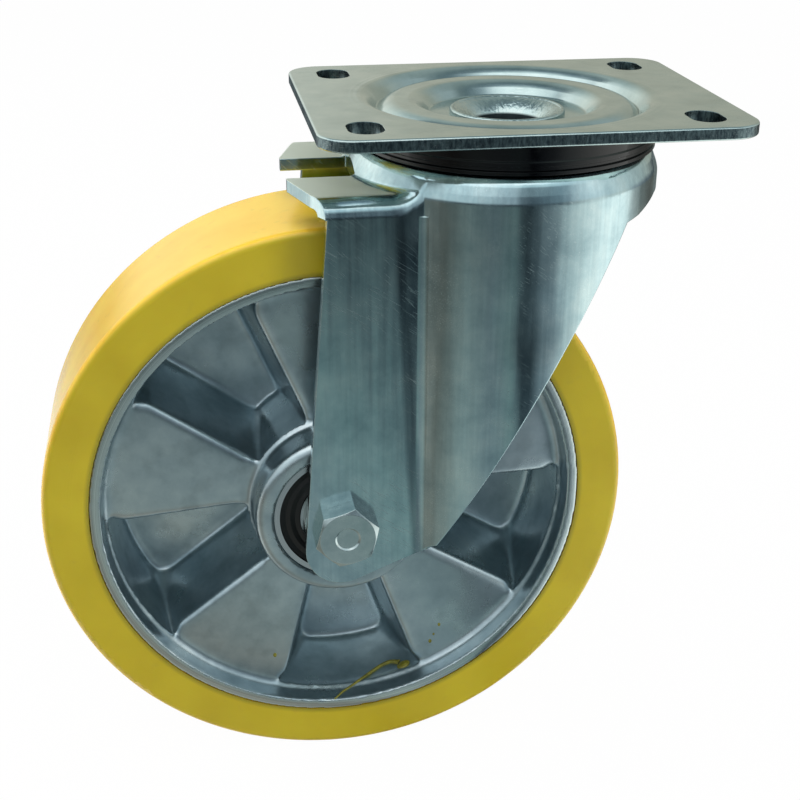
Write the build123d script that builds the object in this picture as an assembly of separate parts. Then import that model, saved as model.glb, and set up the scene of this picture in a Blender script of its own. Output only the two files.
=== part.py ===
from build123d import *
import os
from math import cos, hypot, radians, sin, sqrt, tan

# Swivel castor: a slotted mounting plate, a double ball swivel on a hollow kingpin, a pressed
# steel fork and a 200 mm aluminium wheel with a polyurethane tread on two sealed ball bearings.
# Millimetres. The origin is the centre of the plate's top face, on the swivel axis. +Z is up,
# the wheel trails towards -X and its axle runs along Y. "Front" below is the -X end, above
# the wheel, where the fork's two arms are, and "rear" is the +X end.

# Main sizes
OVERALL_HEIGHT = 235.0
HEAD_HEIGHT = 35.0
WHEEL_DIAMETER = OVERALL_HEIGHT - HEAD_HEIGHT
WHEEL_WIDTH = 50.0
TRAIL = 60.0
AXLE_Z = WHEEL_DIAMETER / 2 - OVERALL_HEIGHT
RUNNING_GAP = 0.1

# Mounting plate, a pressing of constant thickness
PLATE_LENGTH = 135.0
PLATE_WIDTH = 110.0
PLATE_THICKNESS = 4.0
PLATE_CORNER_RADIUS = 11.0
PLATE_EDGE_RADIUS = 0.7
SLOT_SPACING_X = 105.0
SLOT_SPACING_Y = 80.0
SLOT_WIDTH = 11.0
SLOT_LENGTH = 16.0
PRESSING_RADIUS = 47.5
PRESSING_GROOVE_RADIUS = 43.0
PRESSING_GROOVE_DEPTH = 5.6
BEAD_HALF_WIDTH = 3.9
BEAD_DROP = 1.5
PLATE_CENTRE_RADIUS = 26.8
PLATE_CENTRE_DROP = 6.0
PRESSING_BENDS = [3.0, 4.0, 4.0, 2.5, 3.5]

# Swivel bearing: two rows of loose balls, above and below the fork's crown
UPPER_BALL_DIAMETER = 9.0
UPPER_ROW_RADIUS = 34.6
UPPER_BALL_COUNT = 22
LOWER_BALL_DIAMETER = 8.0
LOWER_ROW_RADIUS = 25.0
LOWER_BALL_COUNT = 18
RACE_RELIEF = 0.4

# Hollow kingpin, rolled over the plate and flanged under the lower race cup
KINGPIN_BORE_RADIUS = 10.5
KINGPIN_NECK_RADIUS = 14.5
KINGPIN_SHOULDER_RADIUS = 16.2
KINGPIN_COLLAR_RADIUS = 18.9
KINGPIN_COLLAR_HEIGHT = 1.8
KINGPIN_MOUTH_RADIUS = 17.3
KINGPIN_MOUTH_DEPTH = 9.0
KINGPIN_RIM_HEIGHT = 1.1
KINGPIN_MOUTH_LIP = 0.4
KINGPIN_EDGE = 1.0
KINGPIN_FLANGE_RADIUS = 18.5
KINGPIN_FLANGE_THICKNESS = 3.0

# Lower race cup
CUP_THICKNESS = 3.0
CUP_RADIUS = 30.6
CUP_FLANK_ANGLE = 36.0

# Seal ring between the plate and the fork's crown
SEAL_RADIUS = 48.6
SEAL_WALL = 3.2
SEAL_GROOVE_DEPTH = 0.7
SEAL_LIP_GAP = 0.3

# Fork: one pressed sheet with a round drum, two flat legs and a notched front. The legs'
# lower corners are given from the axle.
SHEET = 4.0
CROWN_Z = -14.5
CROWN_HOLE_RADIUS = 17.8
CROWN_FLANK_ANGLE = 29.0
CROWN_CREST_RADIUS = 41.0
CROWN_JOIN_RADIUS = 44.4
CROWN_BENDS = (3.0, 2.2)
DRUM_SHIFT = 1.5
DRUM_RADIUS = 51.4
DRUM_TOP_RADIUS = 48.6
DRUM_SHOULDER_Z = -21.5
DRUM_TOP_FILLET = 4.5
DRUM_SHOULDER_FILLET = 9.0
ARM_Z = -22.0
ARM_TIP_X = -74.0
ARM_CORNER_X = -68.5
ARM_CORNER_INSET = 7.5
FLARE_ARM_RADIUS = 52.0
FLARE_FOOT_RADIUS = 3.0
FLARE_STEP = 0.15
NOTCH_WIDTH = 24.0
NOTCH_BACK_X = -52.0
DRUM_SADDLE_X = -14.0
LEG_DEPTH_BELOW_AXLE = 65.0
LEG_BEND_RADIUS = 6.0
LEG_TOP_Z = -28.0
LEG_FRONT_TOP_X = -64.2
LEG_FRONT_BOTTOM = (-13.6, -11.0)
LEG_TOE = (-6.5, -24.5)
LEG_HEEL = (29.5, -9.5)
LEG_REAR_TOP = (30.0, -32.5)
LEG_TOE_RADIUS = 12.0
LEG_HEEL_RADIUS = 8.0
SKIRT_REAR_Z = -25.0
CREASE_RADIUS = 5.0
BULGE_END = (19.5, -10.4)
BULGE_END_SLOPE = 8.0
BULGE_END_RISE = 0.4
BOLT_HOLE_RADIUS = 6.3

# Wheel centre: die-cast rim, hub and corrugated web
TREAD_THICKNESS = 15.5
RIM_WALL = 3.8
RIM_DRAFT = 0.9
HUB_RADIUS = 29.5
HUB_LENGTH = 64.0
HUB_EDGE_RADIUS = 3.0
HUB_SHOULDER_RADIUS = 19.0
PANEL_DEPTH = 7.5
PANEL_FILLET = 2.5
WEB_THICKNESS = 6.0
POCKET_COUNT = 5
POCKET_TURN = 3.0
POCKET_HALF_WIDTH_IN = 13.2
POCKET_HALF_WIDTH_OUT = 24.0
POCKET_SPAN = (35.0, 72.0)
POCKET_INNER_RADIUS = 30.4
POCKET_RIM_STEP = 1.1
POCKET_SIDE_DRAFT = 7.0
POCKET_INNER_DRAFT = 3.4
POCKET_OUTER_DRAFT = 2.0
POCKET_FLARE = 6.0
POCKET_CORNER_OUT = 6.0
POCKET_CORNER_IN = 3.0
TREAD_EDGE_RADIUS = 2.5

# Wheel bearings, 20 x 47 x 14
BEARING_BORE = 20.0
BEARING_OUTER = 47.0
BEARING_WIDTH = 14.0
BEARING_SINK = 1.0
BEARING_BALL_DIAMETER = 7.94
BEARING_BALL_COUNT = 8
BEARING_EDGE = 1.0
INNER_SHOULDER_RADIUS = 14.2
OUTER_SHOULDER_RADIUS = 19.7
SEAL_SEAT_RADIUS = 21.2
SHIELD_THICKNESS = 1.2
SHIELD_SINK = 0.5
SHIELD_GAP = 0.2
CAGE_THICKNESS = 2.0
CAGE_WIDTH = 9.6

# Axle: a bolt through a steel tube, with spacers and a lock nut
AXLE_TUBE_GAP = 0.05
BOLT_DIAMETER = 12.0
BOLT_GAP = 0.1
BOLT_HEAD_ACROSS_FLATS = 19.0
BOLT_HEAD_HEIGHT = 7.5
BOLT_DISH_DEPTH = 0.5
BOLT_TIP = 2.0
NUT_HEIGHT = 12.0
NUT_INSERT_HEIGHT = 3.0
NUT_INSERT_RADIUS = 8.2
SPACER_WALL = 3.0
SPACER_LENGTH = 4.5

# Worked out from the sizes above
AXLE = Pos(-TRAIL, 0, AXLE_Z) * Rot(-90, 0, 0)
BEARING_FACE = HUB_LENGTH / 2 - BEARING_SINK
BEARING_PITCH_RADIUS = (BEARING_BORE + BEARING_OUTER) / 4
LEG_INNER_Y = BEARING_FACE + SPACER_LENGTH
LEG_OUTER_Y = LEG_INNER_Y + SHEET
RIM_RADIUS = WHEEL_DIAMETER / 2 - TREAD_THICKNESS
RIM_INNER_RADIUS = RIM_RADIUS - RIM_WALL
POCKET_OUTER_RADIUS = RIM_INNER_RADIUS - POCKET_RIM_STEP
UPPER_BALL_Z = -BEAD_DROP - PLATE_THICKNESS - RUNNING_GAP - UPPER_BALL_DIAMETER / 2
UPPER_RACE_Z = UPPER_BALL_Z - UPPER_BALL_DIAMETER / 2 - RUNNING_GAP
LOWER_RACE_TOP_Z = CROWN_Z - 0.9
LOWER_BALL_Z = LOWER_RACE_TOP_Z - RUNNING_GAP - LOWER_BALL_DIAMETER / 2
CUP_RACE_Z = LOWER_BALL_Z - LOWER_BALL_DIAMETER / 2 - RUNNING_GAP
FORM_BOTTOM_Z = AXLE_Z - LEG_DEPTH_BELOW_AXLE


def turned(section, axis=Axis.Z):
    """Turn a section, drawn as (radius, height), about the upright axis."""
    return revolve(Plane.XZ * section, axis)


def from_axle(corner):
    """Corner of the side view given from the axle, as (x, z) in the part's own frame."""
    return (corner[0] - TRAIL, corner[1] + AXLE_Z)


def outline(*points):
    return make_face(Polyline(*points, close=True))


def sheet_section(points, bends, thickness, inner_radius, outer_radius):
    """Section of a pressed sheet: its bent middle line, thickened, between two radii."""
    middle = FilletPolyline(*points, radius=bends)
    strip = make_face(offset(Wire(middle.edges()), thickness / 2, side=Side.BOTH).edges())
    width = outer_radius - inner_radius
    window = Pos((inner_radius + outer_radius) / 2, 0) * Rectangle(width, 400)
    return strip & window


def rounded_v(flank_angle, radius):
    """How far the bottom of a rounded V stands off its sharp corner."""
    return radius * (1 / cos(radians(flank_angle)) - 1)


def polar(radius, angle, height=0.0):
    return (radius * cos(radians(angle)), radius * sin(radians(angle)), height)


def circles_near(solid, radius):
    """Circular edges of a solid that have about this radius."""
    circles = solid.edges().filter_by(GeomType.CIRCLE)
    return circles.filter_by(lambda e: abs(e.radius - radius) < 0.1)


def ball_row(diameter, row_radius, count, height):
    balls = []
    for i in range(count):
        balls.append(Pos(*polar(row_radius, 360 * i / count, height)) * Sphere(diameter / 2))
    return Compound(children=balls)


def plate_pressing():
    """Round middle of the plate: a groove, a raised ball-race bead and a sunk centre."""
    half = PLATE_THICKNESS / 2
    edge = PRESSING_RADIUS + PLATE_THICKNESS
    middle = [(0, -PLATE_CENTRE_DROP - half),
              (PLATE_CENTRE_RADIUS, -PLATE_CENTRE_DROP - half),
              (UPPER_ROW_RADIUS - BEAD_HALF_WIDTH, -BEAD_DROP - half),
              (UPPER_ROW_RADIUS + BEAD_HALF_WIDTH, -BEAD_DROP - half),
              (PRESSING_GROOVE_RADIUS, -PRESSING_GROOVE_DEPTH - half),
              (PRESSING_RADIUS, -half), (edge + 10, -half)]
    section = sheet_section(middle, PRESSING_BENDS, PLATE_THICKNESS, KINGPIN_NECK_RADIUS, edge)
    return turned(section)


def mounting_plate():
    sheet = extrude(RectangleRounded(PLATE_LENGTH, PLATE_WIDTH, PLATE_CORNER_RADIUS),
                    -PLATE_THICKNESS)
    rims = sheet.edges().filter_by(lambda e: abs(e.tangent_at(0.5).Z) < 0.5)
    sheet = fillet(rims, PLATE_EDGE_RADIUS)
    slot = extrude(Rot(0, 0, 90) * SlotOverall(SLOT_LENGTH, SLOT_WIDTH), -PLATE_THICKNESS)
    sheet -= [place * slot for place in GridLocations(SLOT_SPACING_X, SLOT_SPACING_Y, 2, 2)]
    window = Cylinder(PRESSING_RADIUS + PLATE_THICKNESS, 4 * PLATE_THICKNESS)
    return sheet - window + plate_pressing()


def cup_middle():
    """Middle line of the lower race cup: a flat seat, a ball groove and a lip."""
    half = CUP_THICKNESS / 2
    bend = LOWER_BALL_DIAMETER / 2 + RACE_RELIEF + half
    groove_z = CUP_RACE_Z - half - rounded_v(CUP_FLANK_ANGLE, bend)
    rise = tan(radians(CUP_FLANK_ANGLE))
    seat_z = CUP_RACE_Z - half + CUP_THICKNESS * 0.53
    seat_radius = LOWER_ROW_RADIUS - (seat_z - groove_z) / rise
    points = [(0, seat_z), (seat_radius, seat_z), (LOWER_ROW_RADIUS, groove_z),
              (CUP_RADIUS + 5, groove_z + (CUP_RADIUS + 5 - LOWER_ROW_RADIUS) * rise)]
    return points, [2, bend], seat_z


def lower_race_cup():
    points, bends, seat_z = cup_middle()
    return turned(sheet_section(points, bends, CUP_THICKNESS, KINGPIN_NECK_RADIUS, CUP_RADIUS))


def kingpin():
    seat_z = cup_middle()[2]
    cup_top = seat_z + CUP_THICKNESS / 2
    cup_bottom = seat_z - CUP_THICKNESS / 2
    flange_z = cup_bottom - KINGPIN_FLANGE_THICKNESS
    plate_top = -PLATE_CENTRE_DROP
    plate_bottom = plate_top - PLATE_THICKNESS
    collar_top = plate_top + KINGPIN_COLLAR_HEIGHT
    mouth = (KINGPIN_MOUTH_RADIUS, collar_top - KINGPIN_MOUTH_LIP)
    throat = (KINGPIN_BORE_RADIUS, collar_top - KINGPIN_MOUTH_DEPTH)
    rim = (KINGPIN_COLLAR_RADIUS, plate_top + KINGPIN_RIM_HEIGHT)
    crest = ((mouth[0] + rim[0]) / 2, collar_top)
    curve = TangentArc(throat, mouth, tangent=(0, 1))
    roll = ThreePointArc(mouth, crest, rim)
    outside = Polyline(
        rim, (KINGPIN_COLLAR_RADIUS, plate_top), (KINGPIN_NECK_RADIUS, plate_top),
        (KINGPIN_NECK_RADIUS, plate_bottom), (KINGPIN_SHOULDER_RADIUS, plate_bottom),
        (KINGPIN_SHOULDER_RADIUS, cup_top), (KINGPIN_NECK_RADIUS, cup_top),
        (KINGPIN_NECK_RADIUS, cup_bottom), (KINGPIN_FLANGE_RADIUS, cup_bottom),
        (KINGPIN_FLANGE_RADIUS, flange_z + KINGPIN_EDGE),
        (KINGPIN_FLANGE_RADIUS - KINGPIN_EDGE, flange_z),
        (KINGPIN_BORE_RADIUS + KINGPIN_EDGE, flange_z),
        (KINGPIN_BORE_RADIUS, flange_z + KINGPIN_EDGE), throat)
    return turned(make_face([*curve.edges(), *roll.edges(), *outside.edges()]))


def swivel_seal():
    """Moulded ring under the plate, with a broad band between thin ribs."""
    top = -PLATE_THICKNESS
    bottom = CROWN_Z + SEAL_LIP_GAP
    height = top - bottom
    groove = SEAL_RADIUS - SEAL_GROOVE_DEPTH
    inner = SEAL_RADIUS - SEAL_WALL
    bands = [(0.0, 0.14, SEAL_RADIUS), (0.18, 0.58, groove + 0.3), (0.62, 0.74, SEAL_RADIUS),
             (0.78, 0.86, groove), (0.90, 1.0, SEAL_RADIUS)]
    profile = [(inner, top)]
    for start, end, radius in bands:
        profile += [(radius, top - start * height), (radius, top - end * height)]
    profile.append((inner, bottom))
    return turned(outline(*profile)) - plate_pressing()


def drum_form(inset):
    """Solid form of the fork's round drum, shrunk by inset, with its shoulder at the top."""
    section = outline((-DRUM_RADIUS, CROWN_Z), (DRUM_TOP_RADIUS, CROWN_Z),
                      (DRUM_RADIUS, DRUM_SHOULDER_Z), (DRUM_RADIUS, FORM_BOTTOM_Z),
                      (-DRUM_RADIUS, FORM_BOTTOM_Z))
    top = section.vertices().sort_by_distance((DRUM_TOP_RADIUS, CROWN_Z, 0))[0]
    section = fillet(top, DRUM_TOP_FILLET)
    shoulder = section.vertices().sort_by_distance((DRUM_RADIUS, DRUM_SHOULDER_Z, 0))[0]
    section = fillet(shoulder, DRUM_SHOULDER_FILLET)
    if inset:
        section = offset(section, -inset)
    section &= Pos(DRUM_RADIUS, 0) * Rectangle(2 * DRUM_RADIUS, -3 * FORM_BOTTOM_Z)
    form = Pos(-DRUM_SHIFT, 0, 0) * turned(section)
    for side in (-1, 1):
        form -= bulge_end(side, inset)
    return form


def bulge_end(side, inset):
    """Space below the slanted lower end of the drum, where the leg runs out flat."""
    along = Vector(cos(radians(BULGE_END_SLOPE)), 0, sin(radians(BULGE_END_SLOPE)))
    outward = Vector(0, side, BULGE_END_RISE).normalized()
    normal = along.cross(outward) * side * -1
    normal = normal if normal.Z > 0 else normal * -1
    end_x, end_z = from_axle(BULGE_END)
    start = Vector(end_x, side * LEG_OUTER_Y, end_z) + normal * inset
    plane = Plane(origin=start, x_dir=along, z_dir=normal)
    return plane * Pos(0, 0, -100) * Box(300, 200, 200)


def flare_form(inset):
    """Cone that spreads from the top of the drum onto the tops of the arms."""
    top = CROWN_Z - FLARE_STEP
    slope = (FLARE_ARM_RADIUS - DRUM_TOP_RADIUS) / (top - ARM_Z)
    foot = ARM_Z - 2 * SHEET
    foot_radius = DRUM_TOP_RADIUS + slope * (top - foot)
    section = outline((-foot_radius, top), (DRUM_TOP_RADIUS, top), (foot_radius, foot),
                      (foot_radius, FORM_BOTTOM_Z), (-foot_radius, FORM_BOTTOM_Z))
    corner = section.vertices().sort_by_distance((DRUM_TOP_RADIUS, top, 0))[0]
    section = fillet(corner, DRUM_TOP_FILLET + inset)
    if inset:
        section = offset(section, -inset)
    section &= Pos(foot_radius, 0) * Rectangle(2 * foot_radius, -3 * FORM_BOTTOM_Z)
    return Pos(-DRUM_SHIFT, 0, 0) * turned(section)


def front_block(inset, top, bottom):
    """Block as wide as the two legs, from ahead of the arms' tips to well inside the drum."""
    start = ARM_TIP_X - 20
    length = DRUM_SADDLE_X - start
    middle = Pos(start + length / 2, 0, (top + bottom) / 2)
    return middle * Box(length, 2 * (LEG_OUTER_Y - inset), top - bottom)


def saddle_form(inset):
    """Solid form of the front part that the two legs hang from: flat arms, and the flare."""
    half = LEG_OUTER_Y - inset
    top = ARM_Z - inset
    flare = flare_form(inset) & front_block(inset, 0, ARM_Z - 2 * SHEET)
    form = front_block(inset, top, FORM_BOTTOM_Z) + flare
    foot = form.edges().filter_by(GeomType.CIRCLE).filter_by(
        lambda e: abs(e.center().Z - top) < 0.1)
    form = fillet(foot, FLARE_FOOT_RADIUS + inset)

    def on_side(edge):
        places = [edge @ 0, edge @ 0.5, edge @ 1]
        return all(abs(abs(p.Y) - half) < 0.01 and p.Z > top - 0.5 for p in places)

    return fillet(form.edges().filter_by(on_side), LEG_BEND_RADIUS - inset)


def fork_form(inset):
    """Outer form of the fork, or its inner form when inset by the sheet's thickness."""
    form = front_block(inset, ARM_Z - LEG_BEND_RADIUS, FORM_BOTTOM_Z) + drum_form(inset)
    panel_y = LEG_OUTER_Y - inset
    crease_x = -DRUM_SHIFT - sqrt((DRUM_RADIUS - inset) ** 2 - panel_y ** 2)

    def in_crease(edge):
        middle = edge.center()
        on_panel = abs(abs(middle.Y) - panel_y) < 0.5 and edge.length > 20
        return on_panel and crease_x - 1 < middle.X < DRUM_SADDLE_X - 1

    creases = form.edges().filter_by(in_crease)
    return fillet(creases, CREASE_RADIUS) + saddle_form(inset)


def crown():
    """Ball-race rings pressed into the top of the fork, round its central hole."""
    half = SHEET / 2
    upper_bend = UPPER_BALL_DIAMETER / 2 + RACE_RELIEF + 0.1 + half
    lower_bend = LOWER_BALL_DIAMETER / 2 + RACE_RELIEF + 0.1 + half
    rise = tan(radians(CROWN_FLANK_ANGLE))
    upper_v = UPPER_RACE_Z - half - rounded_v(CROWN_FLANK_ANGLE, upper_bend)
    lower_v = LOWER_RACE_TOP_Z + half + rounded_v(CROWN_FLANK_ANGLE, lower_bend)
    points = [(CROWN_HOLE_RADIUS - 3, lower_v - rise * (LOWER_ROW_RADIUS - CROWN_HOLE_RADIUS + 3)),
              (LOWER_ROW_RADIUS, lower_v), (UPPER_ROW_RADIUS, upper_v),
              (CROWN_CREST_RADIUS, upper_v + rise * (CROWN_CREST_RADIUS - UPPER_ROW_RADIUS)),
              (CROWN_JOIN_RADIUS - 0.6, CROWN_Z - half), (CROWN_JOIN_RADIUS + 5, CROWN_Z - half)]
    section = sheet_section(points, [lower_bend, upper_bend, *CROWN_BENDS], SHEET,
                            CROWN_HOLE_RADIUS, CROWN_JOIN_RADIUS)
    return turned(section)


def leg_outline():
    """Side view of the fork: what is kept of the pressed form below the arms."""
    front_top = (LEG_FRONT_TOP_X, LEG_TOP_Z)
    front_bottom = from_axle(LEG_FRONT_BOTTOM)
    toe = from_axle(LEG_TOE)
    heel = from_axle(LEG_HEEL)
    face = outline(front_top, front_bottom, toe, heel, LEG_REAR_TOP,
                   (LEG_REAR_TOP[0] + 5, LEG_REAR_TOP[1] + 1),
                   (DRUM_RADIUS, SKIRT_REAR_Z), (DRUM_RADIUS + 5, SKIRT_REAR_Z),
                   (DRUM_RADIUS + 5, 0), (LEG_FRONT_TOP_X, 0))
    rounds = [(front_bottom, LEG_TOE_RADIUS), (toe, LEG_TOE_RADIUS), (heel, LEG_HEEL_RADIUS)]
    for point, radius in rounds:
        corner = face.vertices().sort_by_distance((*point, 0))[0]
        face = fillet(corner, radius)
    return face


def arm_outline():
    """Plan of the two front arms and the notch between them."""
    notch = NOTCH_WIDTH / 2
    corner = LEG_OUTER_Y - ARM_CORNER_INSET
    side = LEG_OUTER_Y + 1
    reach = DRUM_RADIUS + 10
    return outline((ARM_TIP_X, -notch - 2), (ARM_CORNER_X, -corner), (LEG_FRONT_TOP_X, -side),
                   (0, -reach), (reach, -reach), (reach, reach), (0, reach),
                   (LEG_FRONT_TOP_X, side), (ARM_CORNER_X, corner), (ARM_TIP_X, notch + 2),
                   (ARM_TIP_X, notch), (NOTCH_BACK_X, notch), (NOTCH_BACK_X, -notch),
                   (ARM_TIP_X, -notch))


def fork():
    shell = fork_form(0) - fork_form(SHEET)
    shell -= Cylinder(CROWN_JOIN_RADIUS, 2 * -ARM_Z)
    body = shell + crown()
    depth = 2 * DRUM_RADIUS + 20
    legs = Pos(0, depth / 2, 0) * extrude(Plane.XZ * leg_outline(), depth)
    arms = Pos(0, 0, LEG_TOP_Z) * extrude(arm_outline(), -LEG_TOP_Z)
    above_legs = Pos(ARM_TIP_X, 0, LEG_TOP_Z / 2) * Box(-2 * ARM_TIP_X, depth, -LEG_TOP_Z)
    body &= legs - above_legs + arms
    body -= AXLE * Cylinder(BOLT_HOLE_RADIUS, depth)
    return body


def pocket_outline(depth, full_depth):
    """Plan of one web pocket at a depth below the raised panels' face. Its outer corners are
    flared at that face, where the panels' corners are rounded, and filleted at the floor."""
    share = depth / full_depth
    inward = POCKET_SIDE_DRAFT * share
    slope = (POCKET_HALF_WIDTH_OUT - POCKET_HALF_WIDTH_IN) / (POCKET_SPAN[1] - POCKET_SPAN[0])

    def half_width(radius):
        return POCKET_HALF_WIDTH_IN + slope * (radius - POCKET_SPAN[0]) - inward

    inner = POCKET_INNER_RADIUS + POCKET_INNER_DRAFT * share
    outer = POCKET_OUTER_RADIUS - POCKET_OUTER_DRAFT * share
    start = inner - 15
    wedge = outline((start, -half_width(start)), (outer + 5, -half_width(outer + 5)),
                    (outer + 5, half_width(outer + 5)), (start, half_width(start)))
    ring = Circle(outer) - Circle(inner)
    if share > 0:
        face = wedge & ring
        face = fillet(corners_at(face, outer), POCKET_CORNER_OUT)
    else:
        panel = ring - wedge
        face = ring - fillet(corners_at(panel, outer), POCKET_FLARE)
    face = fillet(corners_at(face, inner), POCKET_CORNER_IN)
    return Pos(0, 0, -depth) * face


def corners_at(face, radius):
    """Corners of a flat face that lie at this distance from the origin, on the +X side."""
    return [v for v in face.vertices() if abs(hypot(v.X, v.Y) - radius) < 0.01 and v.X > 0]


def pocket():
    """Cutter for one drafted pocket. The raised panels' face is at height zero."""
    full = WHEEL_WIDTH - 2 * PANEL_DEPTH - WEB_THICKNESS
    return loft([pocket_outline(0, full), pocket_outline(full, full)], ruled=True)


def panel_recess():
    """Ring-shaped recess of the raised panels below the rim's face, at the top end."""
    face = WHEEL_WIDTH / 2
    floor = face - PANEL_DEPTH
    section = outline((HUB_RADIUS, floor), (RIM_INNER_RADIUS - RIM_DRAFT, floor),
                      (RIM_INNER_RADIUS, face), (RIM_INNER_RADIUS, face + 10),
                      (HUB_RADIUS, face + 10))
    corners = section.vertices().filter_by(lambda v: v.Y < floor + 0.1)
    return turned(fillet(corners, PANEL_FILLET))


def wheel_centre():
    bearing_radius = BEARING_OUTER / 2
    seat = BEARING_FACE - BEARING_WIDTH
    hub = Cylinder(HUB_RADIUS, HUB_LENGTH)
    hub = fillet(circles_near(hub, HUB_RADIUS), HUB_EDGE_RADIUS)
    body = Cylinder(RIM_RADIUS, WHEEL_WIDTH) + hub
    body -= Cylinder(HUB_SHOULDER_RADIUS, 2 * HUB_LENGTH)
    for flip in (0, 180):
        turn = Rot(flip, 0, 0)
        body -= turn * panel_recess()
        body -= turn * Pos(0, 0, seat + HUB_LENGTH / 2) * Cylinder(bearing_radius, HUB_LENGTH)
        body -= turn * Pos(0, 0, HUB_LENGTH / 2) * Cone(
            bearing_radius - 1, bearing_radius + 1, 2)
    cutter = pocket()
    floor = WHEEL_WIDTH / 2 - PANEL_DEPTH
    step = 360 / POCKET_COUNT
    for i in range(POCKET_COUNT):
        turn = 90 - POCKET_TURN + step * i
        near = Rot(180, 0, 0) * Rot(0, 0, -turn) * Pos(0, 0, floor) * cutter
        far = Rot(0, 0, turn + step / 2) * Pos(0, 0, floor) * cutter
        body -= [near, far]
    return AXLE * body


def tread():
    ring = Cylinder(WHEEL_DIAMETER / 2, WHEEL_WIDTH) - Cylinder(RIM_RADIUS, WHEEL_WIDTH)
    return AXLE * fillet(circles_near(ring, WHEEL_DIAMETER / 2), TREAD_EDGE_RADIUS)


def bearing_place(side):
    """Frame of one wheel bearing: centre of the bearing, with +Z towards its outer face."""
    centre = BEARING_FACE - BEARING_WIDTH / 2
    return AXLE * Pos(0, 0, side * centre) * Rot(0 if side > 0 else 180, 0, 0)


def race_groove():
    return Torus(BEARING_PITCH_RADIUS, BEARING_BALL_DIAMETER / 2 + RUNNING_GAP)


def bearing_outer_ring():
    ring = Cylinder(BEARING_OUTER / 2, BEARING_WIDTH) - Cylinder(OUTER_SHOULDER_RADIUS, BEARING_WIDTH)
    depth = SHIELD_SINK + SHIELD_THICKNESS
    for end in (-1, 1):
        ring -= Pos(0, 0, end * (BEARING_WIDTH - depth) / 2) * Cylinder(SEAL_SEAT_RADIUS, depth)
    rims = circles_near(ring, BEARING_OUTER / 2)
    return chamfer(rims, BEARING_EDGE / 2) - race_groove()


def bearing_inner_ring():
    ring = Cylinder(INNER_SHOULDER_RADIUS, BEARING_WIDTH) - Cylinder(BEARING_BORE / 2, BEARING_WIDTH)
    rims = circles_near(ring, BEARING_BORE / 2)
    return chamfer(rims, BEARING_EDGE / 2) - race_groove()


def bearing_shield(end):
    """Rubber-faced seal set in one side of a bearing."""
    inner = INNER_SHOULDER_RADIUS + SHIELD_GAP
    height = BEARING_WIDTH / 2 - SHIELD_SINK - SHIELD_THICKNESS / 2
    ring = Cylinder(SEAL_SEAT_RADIUS, SHIELD_THICKNESS) - Cylinder(inner, SHIELD_THICKNESS)
    return Pos(0, 0, end * height) * ring


def bearing_balls():
    return ball_row(BEARING_BALL_DIAMETER, BEARING_PITCH_RADIUS, BEARING_BALL_COUNT, 0)


def bearing_cage():
    """Cage ring with one round window for each ball."""
    outer = BEARING_PITCH_RADIUS + CAGE_THICKNESS / 2
    inner = BEARING_PITCH_RADIUS - CAGE_THICKNESS / 2
    ring = Cylinder(outer, CAGE_WIDTH) - Cylinder(inner, CAGE_WIDTH)
    window = Pos(inner, 0, 0) * Rot(0, 90, 0) * Cylinder(
        BEARING_BALL_DIAMETER / 2 + RUNNING_GAP, 4 * CAGE_THICKNESS)
    step = 360 / BEARING_BALL_COUNT
    return ring - [Rot(0, 0, step * i) * window for i in range(BEARING_BALL_COUNT)]


def axle_tube():
    bore = BOLT_DIAMETER / 2 + BOLT_GAP
    tube = Cylinder(BEARING_BORE / 2 - AXLE_TUBE_GAP, 2 * LEG_INNER_Y)
    return AXLE * (tube - Cylinder(bore, 2 * LEG_INNER_Y))


def spacer(start, end):
    """Sleeve on the axle tube between two distances from the wheel's middle."""
    bore = BEARING_BORE / 2
    ring = Cylinder(bore + SPACER_WALL, end - start) - Cylinder(bore, end - start)
    return AXLE * Pos(0, 0, (start + end) / 2) * ring


def hexagon_prism(across_flats, height, corner_cut):
    """Hexagonal prism standing on height zero, with its top corners turned off."""
    prism = extrude(RegularPolygon(across_flats / 2, 6, major_radius=False), height)
    corner = across_flats / sqrt(3)
    turned_top = turned(outline((0, 0), (corner, 0), (corner, height - corner_cut),
                                (corner - 2 * corner_cut, height), (0, height)))
    return prism & turned_top


def axle_bolt():
    """Hexagon bolt from the near leg to past the lock nut on the far leg."""
    head = hexagon_prism(BOLT_HEAD_ACROSS_FLATS, BOLT_HEAD_HEIGHT, 0.9)
    dish = turned(outline((0, BOLT_HEAD_HEIGHT - BOLT_DISH_DEPTH), (3.6, BOLT_HEAD_HEIGHT
                          - BOLT_DISH_DEPTH), (4.4, BOLT_HEAD_HEIGHT + 0.1),
                          (0, BOLT_HEAD_HEIGHT + 0.1)))
    shank = 2 * LEG_OUTER_Y + NUT_HEIGHT + BOLT_TIP
    rod = Pos(0, 0, -shank / 2) * Cylinder(BOLT_DIAMETER / 2, shank)
    tip = rod.edges().sort_by(Axis.Z)[0]
    bolt = head - dish + chamfer(tip, 1)
    return Pos(-TRAIL, -LEG_OUTER_Y, AXLE_Z) * Rot(90, 0, 0) * Rot(0, 0, 16) * bolt


def axle_nut():
    nut = hexagon_prism(BOLT_HEAD_ACROSS_FLATS, NUT_HEIGHT - NUT_INSERT_HEIGHT, 0.6)
    collar = Pos(0, 0, NUT_HEIGHT / 2) * Cylinder(NUT_INSERT_RADIUS + 0.8, NUT_HEIGHT)
    nut += collar
    nut -= Pos(0, 0, NUT_HEIGHT - NUT_INSERT_HEIGHT / 2 - 0.5) * Cylinder(
        NUT_INSERT_RADIUS, NUT_INSERT_HEIGHT)
    nut -= Pos(0, 0, NUT_HEIGHT) * Cylinder(NUT_INSERT_RADIUS - 1, 2)
    nut -= Cylinder(BOLT_DIAMETER / 2, 3 * NUT_HEIGHT)
    return Pos(-TRAIL, LEG_OUTER_Y, AXLE_Z) * Rot(-90, 0, 0) * nut


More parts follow.
